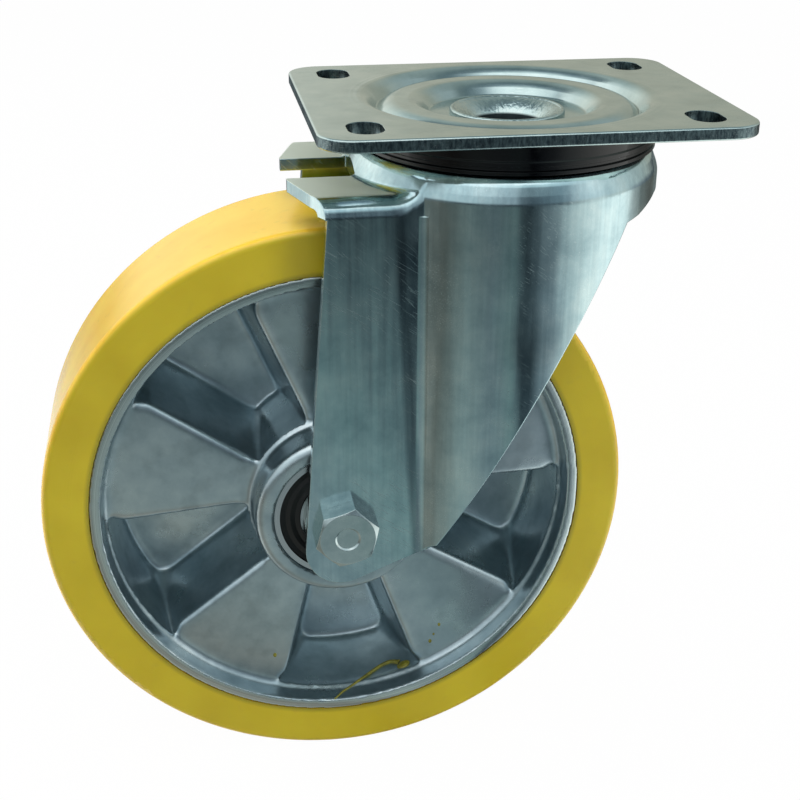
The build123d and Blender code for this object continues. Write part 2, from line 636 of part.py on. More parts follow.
def nut_insert():
    """Nylon locking ring held in the nut's collar."""
    ring = Cylinder(NUT_INSERT_RADIUS, NUT_INSERT_HEIGHT) - Cylinder(
        BOLT_DIAMETER / 2, NUT_INSERT_HEIGHT)
    ring = Pos(0, 0, NUT_HEIGHT - NUT_INSERT_HEIGHT / 2 - 0.5) * ring
    return Pos(-TRAIL, LEG_OUTER_Y, AXLE_Z) * Rot(-90, 0, 0) * ring


def build():
    nodes = {
        "top_plate": mounting_plate(),
        "kingpin": kingpin(),
        "lower_race_cup": lower_race_cup(),
        "swivel_seal": swivel_seal(),
        "upper_balls": ball_row(UPPER_BALL_DIAMETER, UPPER_ROW_RADIUS, UPPER_BALL_COUNT,
                                UPPER_BALL_Z),
        "lower_balls": ball_row(LOWER_BALL_DIAMETER, LOWER_ROW_RADIUS, LOWER_BALL_COUNT,
                                LOWER_BALL_Z),
        "fork": fork(),
        "axle_bolt": axle_bolt(),
        "axle_nut": axle_nut(),
        "nut_insert": nut_insert(),
        "axle_tube": axle_tube(),
        "bearing_spacer": spacer(BEARING_WIDTH - BEARING_FACE, BEARING_FACE - BEARING_WIDTH),
        "wheel_centre": wheel_centre(),
        "tread": tread(),
    }
    for name, side in (("near", -1), ("far", 1)):
        place = bearing_place(side)
        ends = sorted((side * BEARING_FACE, side * LEG_INNER_Y))
        nodes[f"side_spacer_{name}"] = spacer(*ends)
        nodes[f"bearing_outer_ring_{name}"] = place * bearing_outer_ring()
        nodes[f"bearing_inner_ring_{name}"] = place * bearing_inner_ring()
        nodes[f"bearing_outer_seal_{name}"] = place * bearing_shield(1)
        nodes[f"bearing_inner_seal_{name}"] = place * bearing_shield(-1)
        nodes[f"bearing_balls_{name}"] = place * bearing_balls()
        nodes[f"bearing_cage_{name}"] = place * bearing_cage()
    return nodes


os.makedirs("parts", exist_ok=True)
for node_name, solid in build().items():
    export_step(solid, f"parts/{node_name}.step")
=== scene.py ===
from math import cos, hypot, radians, sin

import bpy
from mathutils import Matrix, Vector


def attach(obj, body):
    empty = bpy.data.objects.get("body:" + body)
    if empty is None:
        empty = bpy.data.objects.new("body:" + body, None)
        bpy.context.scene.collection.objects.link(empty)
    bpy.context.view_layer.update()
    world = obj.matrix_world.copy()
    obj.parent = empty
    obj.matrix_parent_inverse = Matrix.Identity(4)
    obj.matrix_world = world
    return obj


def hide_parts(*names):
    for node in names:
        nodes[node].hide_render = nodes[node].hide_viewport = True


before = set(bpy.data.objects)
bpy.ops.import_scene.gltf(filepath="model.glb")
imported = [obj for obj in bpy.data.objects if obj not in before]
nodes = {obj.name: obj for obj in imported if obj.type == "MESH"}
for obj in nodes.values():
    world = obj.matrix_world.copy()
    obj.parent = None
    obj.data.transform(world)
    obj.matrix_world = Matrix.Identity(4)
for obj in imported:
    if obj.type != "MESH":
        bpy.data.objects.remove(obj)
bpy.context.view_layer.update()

# Places on the castor, in metres. The swivel axis is the Z axis and the axle lies along Y.
AXLE = Vector((-0.060, 0.0, -0.135))
FLOOR_Z = -0.2352
MM = 0.001


def tint(code):
    """Linear colour of an sRGB hex value."""
    channels = [int(code[i:i + 2], 16) / 255 for i in (1, 3, 5)]
    linear = [c / 12.92 if c <= 0.04045 else ((c + 0.055) / 1.055) ** 2.4 for c in channels]
    return (*linear, 1.0)


def add(tree, kind, inputs=None, stops=(), **settings):
    """Adds a node with its settings. An input takes a value, the socket that feeds it, or a
    node, whose first open output feeds it. The colour mix has its share at input 0 and its
    colours at 6 and 7. A ramp takes stops of (position, sRGB hex colour)."""
    made = tree.nodes.new("ShaderNode" + kind)
    for name, value in settings.items():
        setattr(made, name, value)
    for name, value in (inputs or {}).items():
        if isinstance(value, bpy.types.Node):
            value = next(output for output in value.outputs if output.enabled)
        if isinstance(value, bpy.types.NodeSocket):
            tree.links.new(value, made.inputs[name])
        else:
            made.inputs[name].default_value = value
    if stops:
        points = made.color_ramp.elements
        while len(points) < len(stops):
            points.new(0.5)
        for point, (position, code) in zip(points, stops):
            point.position = position
            point.color = tint(code)
    return made


def blank_material(name):
    material = bpy.data.materials.new(name)
    material.use_nodes = True
    tree = material.node_tree
    tree.nodes.clear()
    return material, tree


def dress(names, material):
    """Gives CAD nodes their finish."""
    for name in names:
        nodes[name].data.materials.clear()
        nodes[name].data.materials.append(material)


# Camera, fitted to the photograph

CAMERA_PLACE = Vector((-0.10775, -0.43477, 0.09494))
CAMERA_YAW = 0.1657
CAMERA_PITCH = 0.4303
CAMERA_ROLL = 0.005
CAMERA_LENS = 1366.5 / 800 * 36.0

forward = Vector((sin(CAMERA_YAW) * cos(CAMERA_PITCH), cos(CAMERA_YAW) * cos(CAMERA_PITCH),
                  -sin(CAMERA_PITCH)))
level = Vector((cos(CAMERA_YAW), -sin(CAMERA_YAW), 0.0))
upward = level.cross(forward)
right = level * cos(CAMERA_ROLL) + upward * sin(CAMERA_ROLL)
above = upward * cos(CAMERA_ROLL) - level * sin(CAMERA_ROLL)
bpy.ops.object.camera_add()
camera = bpy.context.object
camera.name = "photo_camera"
camera.data.lens = CAMERA_LENS
camera.data.sensor_width = 36.0
camera.data.clip_start = 0.01
turn = Matrix((right, above, -forward)).transposed()
camera.matrix_world = Matrix.Translation(CAMERA_PLACE) @ turn.to_4x4()
bpy.context.scene.camera = camera
bpy.context.scene.view_settings.view_transform = "Standard"

# Dents that the press left on the drum: place in metres, radius in millimetres, and depth
PRESS_DENTS = [
    ((0.0475, -0.018, -0.024), 9.0, 26.0),
    ((0.0440, -0.024, -0.043), 7.0, 18.0),
    ((-0.002, -0.051, -0.062), 16.0, 8.0),
    ((0.0440, 0.024, -0.043), 7.0, 18.0),
]

# Painted shade: a dark line painted beside the crease of the fork's cheeks. Where it would
# cross the plate's height, in metres along X, and how much it leans
SHADE_LINE_X = -0.0438
SHADE_LINE_LEAN = 0.0575
# The cheeks' outer faces stand further out than this, in metres along Y
CHEEK_Y = 0.0385
# Distances from the swivel axis, in metres: the plate's sheared edges and slots lie outside the
# first, and the drawing die left its fine steps round the second and as far as the third
SHEARED_FROM = 0.050
STEPS_FROM = 0.0475
STEPS_TO = 0.0520
STEP_PITCH = 0.9 * MM
# Heights, in metres, between which painted shade darkens the kingpin's bore
BORE_SHADE_TOP = -0.0085
BORE_SHADE_FULL = -0.0092
# The bolt's thread shows past this place along Y, in metres
THREAD_FROM = 0.0500
THREAD_PITCH = 1.75 * MM
# Distances from the axle, in metres, at which the rim's turned face and the tread's seam begin
RIM_FACE_FROM = 0.0806
SEAM_RADIUS = 0.0846
SEAL_RING_PITCH = 1.6 * MM

# Finishes. Each starts from what the real part is made of and how its surface was made.

def distance_from_axle(tree, place):
    """Distance of a surface point from the axle's line, in metres."""
    moved = add(tree, "VectorMath", {0: place, 1: AXLE}, operation="SUBTRACT")
    flat = add(tree, "VectorMath", {0: moved.outputs[0], 1: (1, 0, 1)}, operation="MULTIPLY")
    return add(tree, "VectorMath", {0: flat.outputs[0]}, operation="LENGTH").outputs["Value"]


def distance_from_swivel(tree, place):
    """Distance of a surface point from the swivel axis, in metres."""
    flat = add(tree, "VectorMath", {0: place, 1: (1, 1, 0)}, operation="MULTIPLY")
    return add(tree, "VectorMath", {0: flat.outputs[0]}, operation="LENGTH").outputs["Value"]


def grain(tree, place, size, stretch=(1, 1, 1), turn=(0, 0, 0), detail=3.0, roughness=0.5):
    """Noise with spots of one real size in millimetres, stretched and turned if wanted."""
    mapped = add(tree, "Mapping", {"Vector": place, "Rotation": turn, "Scale": stretch})
    noise = add(tree, "TexNoise", {"Vector": mapped.outputs[0], "Scale": 1 / (size * MM),
                                   "Detail": detail, "Roughness": roughness})
    return noise.outputs["Fac"]


def scratches(tree, place, turn, width, length, share):
    """Fine straight scratches of one direction: stretched noise, cut off near its top."""
    mapped = add(tree, "Mapping", {"Vector": place, "Rotation": turn})
    drawn = add(tree, "VectorMath", {0: mapped.outputs[0], 1: (width / length, 1, 1)},
                operation="MULTIPLY")
    noise = add(tree, "TexNoise",
                {"Vector": drawn.outputs[0], "Scale": 1 / (width * MM), "Detail": 1.0})
    line = add(tree, "MapRange",
               {"Value": noise.outputs["Fac"], "From Min": share, "From Max": share + 0.06})
    patches = add(tree, "MapRange",
                  {"Value": grain(tree, place, 26, detail=2.0), "From Min": 0.38, "From Max": 0.60,
                   "To Min": 0.15, "To Max": 1.0})
    return add(tree, "Math", {0: line, 1: patches}, operation="MULTIPLY")


def fine_rings(tree, radius, per_metre):
    """Uneven rings that turning or grinding leaves, by the distance from the middle."""
    along = add(tree, "Math", {0: radius, 1: per_metre}, operation="MULTIPLY")
    rings = add(tree, "TexNoise", {"W": along, "Scale": 1.0, "Detail": 2.0}, noise_dimensions="1D")
    return rings.outputs["Fac"]


def dent(tree, place, centre, size):
    """Smooth round hollow, 1 at its centre in metres and 0 past its radius in millimetres."""
    away = add(tree, "VectorMath", {0: place, 1: centre}, operation="DISTANCE").outputs["Value"]
    made = add(tree, "MapRange", {"Value": away, "From Min": size * MM, "From Max": 0.0},
               interpolation_type="SMOOTHSTEP")
    return made.outputs["Result"]


def finish_surface(tree, colour, roughness, height, relief, edge=0.0, **sockets):
    """Ends a material: bump from a height, its colour and roughness, and fixed sockets. Sharp
    edges look rounded by a radius in metres."""
    bump = add(tree, "Bump", {"Height": height, "Distance": relief * MM})
    if edge:
        rounded = add(tree, "Bevel", {"Radius": edge}, samples=8)
        tree.links.new(rounded.outputs[0], bump.inputs["Normal"])
    shader = add(tree, "BsdfPrincipled",
                 {"Base Color": colour, "Roughness": roughness, "Normal": bump.outputs[0]})
    for name, value in sockets.items():
        shader.inputs[name.replace("_", " ")].default_value = value
    add(tree, "OutputMaterial", {"Surface": shader.outputs[0]})


def zinc_plated_pressing():
    """Bright zinc plating on pressed steel sheet: a cold bluish mirror that the press left
    slightly wavy, with cloudy patches and many fine slanting scratches from handling."""
    material, tree = blank_material("zinc_plated_pressing")
    texture = add(tree, "TexCoord")
    place = texture.outputs["Object"]
    clouds = grain(tree, place, 13, detail=5.0, roughness=0.6)
    colour = add(tree, "ValToRGB", {"Fac": clouds},
                 [(0.3, "#9DB6BC"), (0.5, "#B4CBCF"), (0.7, "#C8DADB")])
    drawing = grain(tree, place, 1.2, stretch=(1, 1, 0.04), detail=3.0)
    lines = add(tree, "MapRange", {"Value": drawing, "From Min": 0.35, "From Max": 0.65})
    colour = add(tree, "Mix",
                 {0: add(tree, "Math", {0: lines, 1: 0.2}, operation="MULTIPLY"), 6: colour,
                  7: tint("#87989E")}, data_type="RGBA")
    # Painted shade: a dark line beside the crease of each cheek, where shade falls
    across = add(tree, "SeparateXYZ", {0: place})
    lean = add(tree, "Math", {0: across.outputs["Z"], 1: SHADE_LINE_LEAN}, operation="MULTIPLY")
    beside = add(tree, "Math",
                 {0: add(tree, "Math", {0: across.outputs["X"], 1: lean}, operation="ADD"),
                  1: SHADE_LINE_X}, operation="SUBTRACT")
    apart = add(tree, "Math", {0: beside}, operation="ABSOLUTE")
    line = add(tree, "MapRange",
               {"Value": apart.outputs[0], "From Min": 0.0026, "From Max": 0.0009})
    cheek = add(tree, "Math", {0: across.outputs["Y"]}, operation="ABSOLUTE")
    line = add(tree, "Math", {0: line, 1: add(tree, "MapRange",
                                              {"Value": cheek.outputs[0], "From Min": CHEEK_Y,
                                               "From Max": CHEEK_Y + 0.5 * MM})},
               operation="MULTIPLY")
    line = add(tree, "Math", {0: line, 1: add(tree, "MapRange",
                                              {"Value": clouds, "From Min": 0.2, "From Max": 0.5,
                                               "To Min": 0.55, "To Max": 1.0})},
               operation="MULTIPLY")
    # Painted shade: the line darkens the colour beside the crease
    colour = add(tree, "Mix",
                 {0: add(tree, "Math", {0: line, 1: 0.52}, operation="MULTIPLY"), 6: colour,
                  7: tint("#3C4A58")}, data_type="RGBA")
    slant = scratches(tree, place, (0, radians(-33), 0), 0.20, 12.0, 0.672)
    cross = scratches(tree, place, (0, radians(-46), 0), 0.18, 8.0, 0.69)
    marks = add(tree, "Math", {0: slant, 1: cross}, operation="MAXIMUM")
    colour = add(tree, "Mix",
                 {0: add(tree, "Math", {0: marks, 1: 0.46}, operation="MULTIPLY"), 6: colour,
                  7: tint("#DCE4E2")}, data_type="RGBA")
    haze = grain(tree, place, 9, stretch=(1, 1, 0.5), detail=4.0)
    roughness = add(tree, "MapRange", {"Value": haze, "From Min": 0.3, "From Max": 0.7,
                                       "To Min": 0.10, "To Max": 0.19})
    roughness = add(tree, "Math", {0: roughness, 1: add(tree, "Math", {0: marks, 1: 0.18},
                                                        operation="MULTIPLY")}, operation="ADD")
    # The flat tops of the arms are duller than the rest, and painted paler as a painted highlight
    facing = add(tree, "SeparateXYZ", {0: texture.outputs["Normal"]})
    dull_and_lit_top = add(tree, "MapRange",
                   {"Value": facing.outputs["Z"], "From Min": 0.96, "From Max": 0.995})
    roughness = add(tree, "Math", {0: roughness, 1: add(tree, "Math", {0: dull_and_lit_top, 1: 0.50},
                                                        operation="MULTIPLY")}, operation="ADD")
    # Painted highlight: the flat tops' colour turns paler, where the light from above falls
    colour = add(tree, "Mix", {0: dull_and_lit_top, 6: colour, 7: tint("#F6F8EC")}, data_type="RGBA")
    waves = grain(tree, place, 15, stretch=(1, 1, 0.3), detail=1.5)
    pleats = grain(tree, place, 5, stretch=(1, 1, 0.07), detail=1.0)
    height = add(tree, "Math",
                 {0: add(tree, "Math", {0: waves, 1: 8.0}, operation="MULTIPLY"),
                  1: add(tree, "Math", {0: drawing, 1: 0.12}, operation="MULTIPLY")},
                 operation="ADD")
    height = add(tree, "Math",
                 {0: height, 1: add(tree, "Math", {0: pleats, 1: 2.6}, operation="MULTIPLY")},
                 operation="ADD")
    height = add(tree, "Math",
                 {0: height, 1: add(tree, "Math", {0: marks, 1: 0.12}, operation="MULTIPLY")},
                 operation="SUBTRACT")
    for centre, size, depth in PRESS_DENTS:
        hollow = dent(tree, place, centre, size)
        height = add(tree, "Math", {0: height, 1: add(tree, "Math", {0: hollow, 1: depth},
                                                      operation="MULTIPLY")}, operation="SUBTRACT")
    finish_surface(tree, colour, roughness, height, 0.04, edge=0.5 * MM, Metallic=1.0)
    return material


def zinc_plated_plate(name, streaked=0.0):
    """Bright zinc plating on the mounting plate: paler and a little warmer, dull in patches,
    with the darker, rougher band that shearing leaves on the cut edges. The rolled mouth of the
    kingpin has upright streaks from the rolling tool, and its bore is dull, with painted shade."""
    material, tree = blank_material(name)
    texture = add(tree, "TexCoord")
    place = texture.outputs["Object"]
    clouds = grain(tree, place, 18, detail=5.0, roughness=0.6)
    colour = add(tree, "ValToRGB", {"Fac": clouds},
                 [(0.3, "#A9B8B6"), (0.5, "#B8C7C5"), (0.7, "#C6D2CF")])
    facing = add(tree, "SeparateXYZ", {0: texture.outputs["Normal"]})
    upright = add(tree, "Math", {0: facing.outputs["Z"]}, operation="ABSOLUTE")
    sheared = add(tree, "MapRange",
                  {"Value": upright.outputs[0], "From Min": 0.5, "From Max": 0.2})
    radius = distance_from_swivel(tree, place)
    outside = add(tree, "MapRange",
                  {"Value": radius, "From Min": SHEARED_FROM, "From Max": SHEARED_FROM + MM})
    sheared = add(tree, "Math", {0: sheared, 1: outside}, operation="MULTIPLY")
    torn = grain(tree, place, 0.6, stretch=(1, 1, 0.3), detail=4.0)
    torn_colour = add(tree, "ValToRGB", {"Fac": torn}, [(0.36, "#46545A"), (0.66, "#788A8C")])
    colour = add(tree, "Mix", {0: sheared, 6: colour, 7: torn_colour}, data_type="RGBA")
    slant = scratches(tree, place, (0, 0, radians(25)), 0.18, 7.0, 0.63)
    colour = add(tree, "Mix",
                 {0: add(tree, "Math", {0: slant, 1: 0.4}, operation="MULTIPLY"), 6: colour,
                  7: tint("#E2E7E1")}, data_type="RGBA")
    haze = grain(tree, place, 7, detail=4.0)
    roughness = add(tree, "MapRange", {"Value": haze, "From Min": 0.3, "From Max": 0.7,
                                       "To Min": 0.14, "To Max": 0.24})
    roughness = add(tree, "Math", {0: roughness, 1: add(tree, "Math", {0: sheared, 1: 0.12},
                                                        operation="MULTIPLY")}, operation="ADD")
    # Fine steps that the drawing die left round the pressing
    step = add(tree, "Math", {0: radius, 1: STEP_PITCH}, operation="PINGPONG")
    stepped = add(tree, "Math",
                  {0: add(tree, "MapRange", {"Value": radius, "From Min": STEPS_FROM,
                                             "From Max": STEPS_FROM + 0.5 * MM}),
                   1: add(tree, "MapRange", {"Value": radius, "From Min": STEPS_TO,
                                             "From Max": STEPS_TO - 0.5 * MM})},
                  operation="MULTIPLY")
    steps = add(tree, "Math",
                {0: add(tree, "Math", {0: step, 1: 700.0}, operation="MULTIPLY"), 1: stepped},
                operation="MULTIPLY")
    height = add(tree, "Math",
                 {0: add(tree, "Math", {0: grain(tree, place, 20, detail=1.0), 1: 4.0},
                         operation="MULTIPLY"),
                  1: add(tree, "Math", {0: torn, 1: sheared}, operation="MULTIPLY")},
                 operation="ADD")
    height = add(tree, "Math", {0: height, 1: steps}, operation="ADD")
    if streaked:
        rolled = grain(tree, place, 1.1, stretch=(1, 1, 0.05), detail=3.0)
        height = add(tree, "Math", {0: height, 1: add(tree, "Math", {0: rolled, 1: streaked},
                                                      operation="MULTIPLY")}, operation="ADD")
        # Painted shade: the bore's colour darkens below its top, where shade falls inside it
        depth = add(tree, "SeparateXYZ", {0: place}).outputs["Z"]
        bore = add(tree, "MapRange", {"Value": depth, "From Min": BORE_SHADE_TOP, "From Max": BORE_SHADE_FULL})
        colour = add(tree, "Mix", {0: bore, 6: colour, 7: tint("#2C3234")}, data_type="RGBA")
        roughness = add(tree, "Math", {0: roughness, 1: add(tree, "Math", {0: bore, 1: 0.4},
                                                            operation="MULTIPLY")},
                        operation="ADD")
    finish_surface(tree, colour, roughness, height, 0.05, edge=0.4 * MM, Metallic=1.0)
    return material


def zinc_plated_fastener():
    """Zinc plated bolt and nut: a cleaner, smoother plating with light turning marks."""
    material, tree = blank_material("zinc_plated_fastener")
    place = add(tree, "TexCoord").outputs["Object"]
    clouds = grain(tree, place, 5, detail=4.0)
    colour = add(tree, "ValToRGB", {"Fac": clouds}, [(0.3, "#AEBCBD"), (0.7, "#C6D1D0")])
    wear = scratches(tree, place, (0, radians(-20), 0), 0.2, 3.0, 0.66)
    colour = add(tree, "Mix",
                 {0: add(tree, "Math", {0: wear, 1: 0.5}, operation="MULTIPLY"), 6: colour,
                  7: tint("#DCE2E0")}, data_type="RGBA")
    roughness = add(tree, "MapRange", {"Value": clouds, "From Min": 0.3, "From Max": 0.7,
                                       "To Min": 0.18, "To Max": 0.28})
    finish_surface(tree, colour, roughness, clouds, 0.05, edge=0.25 * MM, Metallic=1.0)
    return material


def threaded_bolt():
    """The bolt's finish, with the thread's ridges on the end past the nut."""
    material = zinc_plated_fastener()
    material.name = "zinc_plated_thread"
    tree = material.node_tree
    place = add(tree, "TexCoord").outputs["Object"]
    along = add(tree, "SeparateXYZ", {0: place}).outputs["Y"]
    turns = add(tree, "Math", {0: along, 1: THREAD_PITCH}, operation="PINGPONG")
    past_nut = add(tree, "MapRange",
                   {"Value": along, "From Min": THREAD_FROM, "From Max": THREAD_FROM + 0.5 * MM})
    ridges = add(tree, "Math", {0: turns, 1: past_nut}, operation="MULTIPLY")
    bump = next(n for n in tree.nodes if n.bl_idname == "ShaderNodeBump")
    second = add(tree, "Bump", {"Height": ridges, "Distance": 1.0, "Normal": bump.outputs[0]})
    shader = next(n for n in tree.nodes if n.bl_idname == "ShaderNodeBsdfPrincipled")
    tree.links.new(second.outputs[0], shader.inputs["Normal"])
    return material


def bearing_steel():
    """Ground and polished bearing steel, with very fine rings from grinding."""
    material, tree = blank_material("bearing_steel")
    place = add(tree, "TexCoord").outputs["Object"]
    rings = fine_rings(tree, distance_from_axle(tree, place), 4000.0)
    colour = add(tree, "ValToRGB", {"Fac": rings}, [(0.3, "#B0B4B6"), (0.7, "#C6C9CA")])
    roughness = add(tree, "MapRange", {"Value": rings, "From Min": 0.3, "From Max": 0.7,
                                       "To Min": 0.14, "To Max": 0.22})
    finish_surface(tree, colour, roughness, rings, 0.01, Metallic=1.0)
    return material


def die_cast_aluminium():
    """Die-cast aluminium: satin grey with cloudy flow marks and a faint pebbled skin. The
    rim's two faces are turned, so they are cleaner and show fine rings."""
    material, tree = blank_material("die_cast_aluminium")
    texture = add(tree, "TexCoord")
    place = texture.outputs["Object"]
    radius = distance_from_axle(tree, place)
    flow = grain(tree, place, 22, detail=6.0, roughness=0.62)
    colour = add(tree, "ValToRGB", {"Fac": flow},
                 [(0.3, "#9CABB1"), (0.48, "#B4C1C6"), (0.68, "#C8D2D4")])
    stains = add(tree, "MapRange",
                 {"Value": grain(tree, place, 7, detail=3.0), "From Min": 0.52, "From Max": 0.78})
    colour = add(tree, "Mix",
                 {0: add(tree, "Math", {0: stains, 1: 0.35}, operation="MULTIPLY"), 6: colour,
                  7: tint("#7C878B")}, data_type="RGBA")
    facing = add(tree, "SeparateXYZ", {0: texture.outputs["Normal"]})
    sideways = add(tree, "Math", {0: facing.outputs["Y"]}, operation="ABSOLUTE")
    turned = add(tree, "Math",
                 {0: add(tree, "MapRange", {"Value": radius, "From Min": RIM_FACE_FROM,
                                            "From Max": RIM_FACE_FROM + 0.2 * MM}),
                  1: add(tree, "MapRange",
                         {"Value": sideways.outputs[0], "From Min": 0.9, "From Max": 0.95})},
                 operation="MULTIPLY")
    rings = fine_rings(tree, radius, 2500.0)
    turned_colour = add(tree, "ValToRGB", {"Fac": rings}, [(0.35, "#B4BEBD"), (0.65, "#CDD5D3")])
    colour = add(tree, "Mix", {0: turned, 6: colour, 7: turned_colour}, data_type="RGBA")
    skin = grain(tree, place, 0.7, detail=3.0)
    cast_roughness = add(tree, "MapRange", {"Value": flow, "From Min": 0.3, "From Max": 0.7,
                                            "To Min": 0.36, "To Max": 0.24})
    roughness = add(tree, "Math", {0: cast_roughness, 1: add(tree, "Math", {0: turned, 1: 0.08},
                                                             operation="MULTIPLY")},
                    operation="SUBTRACT")
    height = add(tree, "Math",
                 {0: add(tree, "Math", {0: grain(tree, place, 12, detail=1.0), 1: 6.0},
                         operation="MULTIPLY"),
                  1: add(tree, "Math", {0: skin, 1: 0.35}, operation="MULTIPLY")}, operation="ADD")
    finish_surface(tree, colour, roughness, height, 0.035, edge=0.8 * MM, Metallic=1.0)
    return material


def cast_polyurethane():
    """Cast polyurethane tread: a warm yellow running surface, duller turned sides whose colour is
    painted greener and darker as painted shade, with a thin dark seam where it is bonded to the
    rim."""
    material, tree = blank_material("cast_polyurethane")
    texture = add(tree, "TexCoord")
    place = texture.outputs["Object"]
    radius = distance_from_axle(tree, place)
    facing = add(tree, "SeparateXYZ", {0: texture.outputs["Normal"]})
    sideways = add(tree, "Math", {0: facing.outputs["Y"]}, operation="ABSOLUTE")
    side = add(tree, "MapRange",
               {"Value": sideways.outputs[0], "From Min": 0.55, "From Max": 0.95})
    clouds = grain(tree, place, 30, detail=3.0)
    running = add(tree, "ValToRGB", {"Fac": clouds}, [(0.3, "#F8C52C"), (0.7, "#FFD845")])
    # Painted shade: the sides' colour is darker and greener than the running surface's
    turned = add(tree, "ValToRGB", {"Fac": clouds}, [(0.3, "#B39F06"), (0.7, "#C2B00F")])
    colour = add(tree, "Mix", {0: side, 6: running, 7: turned}, data_type="RGBA")
    seam = add(tree, "MapRange",
               {"Value": radius, "From Min": SEAM_RADIUS + 1.7 * MM, "From Max": SEAM_RADIUS})
    colour = add(tree, "Mix",
                 {0: add(tree, "Math", {0: seam, 1: 0.7}, operation="MULTIPLY"), 6: colour,
                  7: tint("#6F6A14")}, data_type="RGBA")
    smears = add(tree, "MapRange",
                 {"Value": grain(tree, place, 5, detail=5.0, roughness=0.65), "From Min": 0.58,
                  "From Max": 0.75})
    colour = add(tree, "Mix",
                 {0: add(tree, "Math", {0: smears, 1: 0.25}, operation="MULTIPLY"), 6: colour,
                  7: tint("#A38F2A")}, data_type="RGBA")
    rings = fine_rings(tree, radius, 1600.0)
    roughness = add(tree, "Math",
                    {0: add(tree, "MapRange", {"Value": clouds, "From Min": 0.3, "From Max": 0.7,
                                               "To Min": 0.20, "To Max": 0.28}),
                     1: add(tree, "Math", {0: side, 1: 0.12}, operation="MULTIPLY")},
                    operation="ADD")
    height = add(tree, "Math", {0: rings, 1: side}, operation="MULTIPLY")
    finish_surface(tree, colour, roughness, height, 0.02, IOR=1.5,
                   Subsurface_Weight=0.12, Subsurface_Scale=0.003)
    return material


def moulded_seal():
    """Black moulded plastic ring: glossy, with a slight orange peel."""
    material, tree = blank_material("black_moulded_plastic")
    place = add(tree, "TexCoord").outputs["Object"]
    dust = add(tree, "MapRange",
               {"Value": grain(tree, place, 3, stretch=(1, 1, 2), detail=5.0), "From Min": 0.55,
                "From Max": 0.8})
    colour = add(tree, "Mix",
                 {0: add(tree, "Math", {0: dust, 1: 0.12}, operation="MULTIPLY"),
                  6: tint("#050608"), 7: tint("#2C3032")}, data_type="RGBA")
    roughness = add(tree, "MapRange", {"Value": dust, "From Min": 0.0, "From Max": 1.0,
                                       "To Min": 0.08, "To Max": 0.24})
    finish_surface(tree, colour, roughness, grain(tree, place, 1.2), 0.01, edge=0.2 * MM,
                   IOR=1.42)
    return material


def nitrile_rubber():
    """Black nitrile rubber bearing seal: dull, with moulded rings."""
    material, tree = blank_material("nitrile_rubber")
    place = add(tree, "TexCoord").outputs["Object"]
    radius = distance_from_axle(tree, place)
    rings = add(tree, "Math", {0: radius, 1: SEAL_RING_PITCH}, operation="PINGPONG")
    dust = add(tree, "MapRange",
               {"Value": grain(tree, place, 2, detail=5.0), "From Min": 0.5, "From Max": 0.8})
    colour = add(tree, "Mix",
                 {0: add(tree, "Math", {0: dust, 1: 0.10}, operation="MULTIPLY"),
                  6: tint("#050606"), 7: tint("#282C2D")}, data_type="RGBA")
    roughness = add(tree, "MapRange", {"Value": dust, "From Min": 0.0, "From Max": 1.0,
                                       "To Min": 0.42, "To Max": 0.6})
    finish_surface(tree, colour, roughness, rings, 300.0, IOR=1.5)
    return material


def nylon():
    """Natural nylon locking ring: off-white and slightly see-through."""
    material, tree = blank_material("natural_nylon")
    place = add(tree, "TexCoord").outputs["Object"]
    clouds = grain(tree, place, 3, detail=3.0)
    colour = add(tree, "ValToRGB", {"Fac": clouds}, [(0.3, "#D8D5C6"), (0.7, "#E9E6DA")])
    finish_surface(tree, colour, add(tree, "MapRange", {"Value": clouds, "From Min": 0.3,
                                                        "From Max": 0.7, "To Min": 0.4,
                                                        "To Max": 0.5}), clouds, 0.03, IOR=1.53,
                   Subsurface_Weight=0.2, Subsurface_Scale=0.002)
    return material


def dripped_polyurethane():
    """Cured drips of the tread's polyurethane, thin enough to look olive on the metal."""
    material, tree = blank_material("dripped_polyurethane")
    place = add(tree, "TexCoord").outputs["Object"]
    clouds = grain(tree, place, 2, detail=3.0)
    colour = add(tree, "ValToRGB", {"Fac": clouds}, [(0.3, "#5E5D12"), (0.7, "#838024")])
    finish_surface(tree, colour, add(tree, "MapRange", {"Value": clouds, "From Min": 0.3,
                                                        "From Max": 0.7, "To Min": 0.3,
                                                        "To Max": 0.45}), clouds, 0.05, IOR=1.5)
    return material


pressing_finish = zinc_plated_pressing()
plate_finish = zinc_plated_plate("zinc_plated_plate")
fastener_finish = zinc_plated_fastener()
ring_finish = bearing_steel()
casting_finish = die_cast_aluminium()
tread_finish = cast_polyurethane()
rubber_finish = nitrile_rubber()
dress(["fork", "lower_race_cup"], pressing_finish)
dress(["top_plate"], plate_finish)
dress(["kingpin"], zinc_plated_plate("zinc_plated_kingpin", streaked=6.0))
dress(["axle_nut", "axle_tube", "bearing_spacer", "side_spacer_near", "side_spacer_far"],
      fastener_finish)
dress(["axle_bolt"], threaded_bolt())
dress(["wheel_centre"], casting_finish)
dress(["tread"], tread_finish)
dress(["swivel_seal"], moulded_seal())
dress(["nut_insert"], nylon())
dress(["upper_balls", "lower_balls"], ring_finish)
for end in ("near", "far"):
    dress([f"bearing_outer_ring_{end}", f"bearing_inner_ring_{end}", f"bearing_balls_{end}",
           f"bearing_cage_{end}"], ring_finish)
    dress([f"bearing_outer_seal_{end}", f"bearing_inner_seal_{end}"], rubber_finish)

# The wheel centre again, with the soft corners of a die casting on its web

# The web lies between these distances from the axle, in metres
WEB_INNER_RADIUS = 0.0348
WEB_OUTER_RADIUS = 0.0797
CASTING_TRIANGLES = 180000


def finished(piece, kind, **settings):
    """Adds a modifier to the active piece and applies it."""
    modifier = piece.modifiers.new(kind.lower(), kind)
    for name, value in settings.items():
        setattr(modifier, name, value)
    bpy.ops.object.modifier_apply(modifier=modifier.name)


